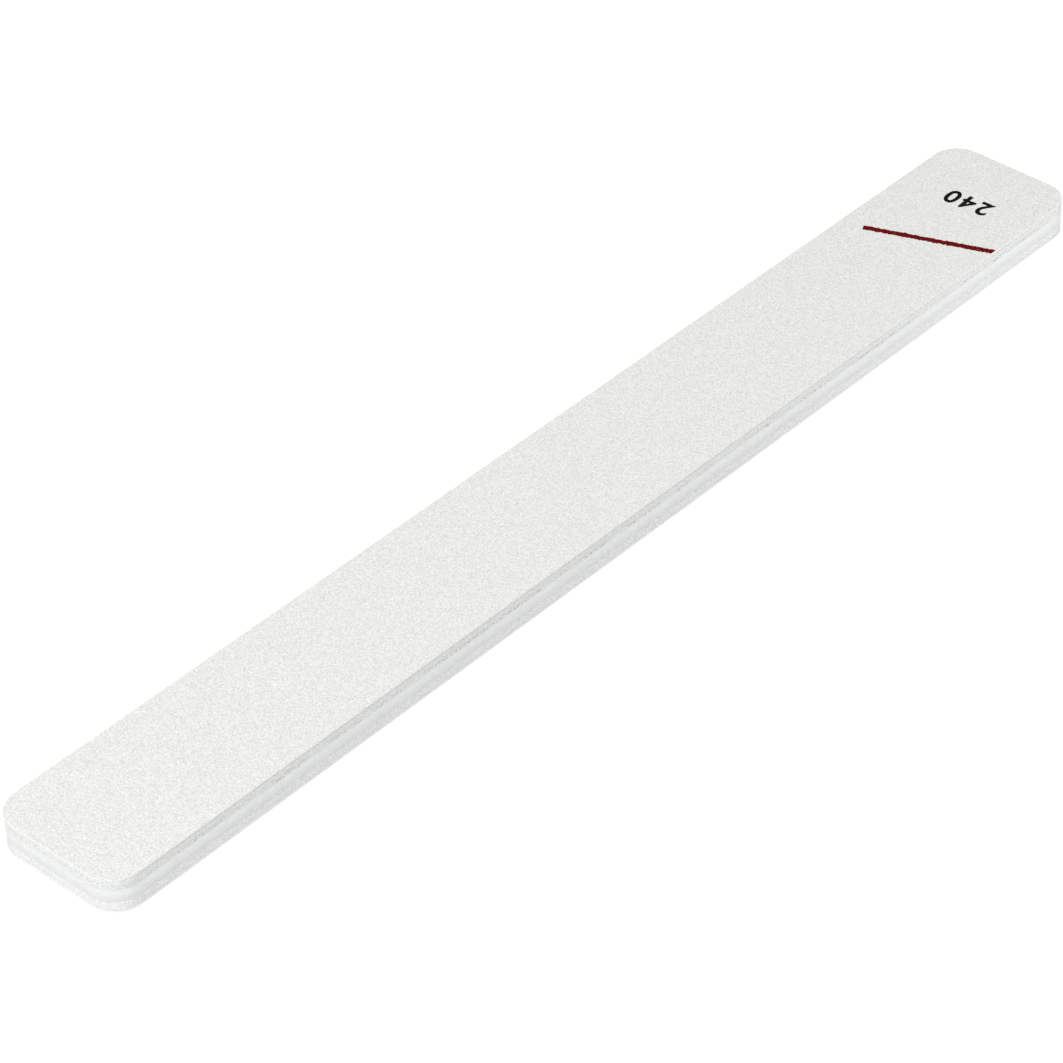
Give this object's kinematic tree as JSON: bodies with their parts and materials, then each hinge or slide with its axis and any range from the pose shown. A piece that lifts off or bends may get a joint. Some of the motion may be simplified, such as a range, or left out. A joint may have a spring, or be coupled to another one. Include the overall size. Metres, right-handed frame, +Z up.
{
  "type": "emery board",
  "caption": "Straight cushioned nail file with rounded corners: a stiff plastic strip with a foam pad and an abrasive sheet bonded to each face.",
  "frame": {"origin": "middle of the lower face, on the surface that the board lies on", "axes": "+X along the board towards its striped end, +Y across it to the left, +Z up out of the striped face"},
  "size_m": [0.178, 0.0206, 0.005],
  "materials": {
    "core_polystyrene": "smooth satin, white high-impact polystyrene strip with a cut edge",
    "acrylic_adhesive": "thin greyish transfer adhesive, seen only as a line",
    "white_foam": "matt closed-cell polyethylene foam, fine open cells on the cut edge",
    "latex_paper": "matt latex-saturated paper",
    "white_grit": "fine-grained matt white aluminium oxide under a white anti-clog coat",
    "red_ink": "matt printed ink"
  },
  "bodies": {
    "root": {"core_strip": "core_polystyrene", "upper_core_adhesive": "acrylic_adhesive", "lower_core_adhesive": "acrylic_adhesive", "upper_foam_pad": "white_foam", "lower_foam_pad": "white_foam", "upper_sheet_adhesive": "acrylic_adhesive", "lower_sheet_adhesive": "acrylic_adhesive", "upper_backing_paper": "latex_paper", "lower_backing_paper": "latex_paper", "upper_grit_coat": "white_grit", "lower_grit_coat": "white_grit", "red_stripe": "red_ink"}
  },
  "joints": []
}
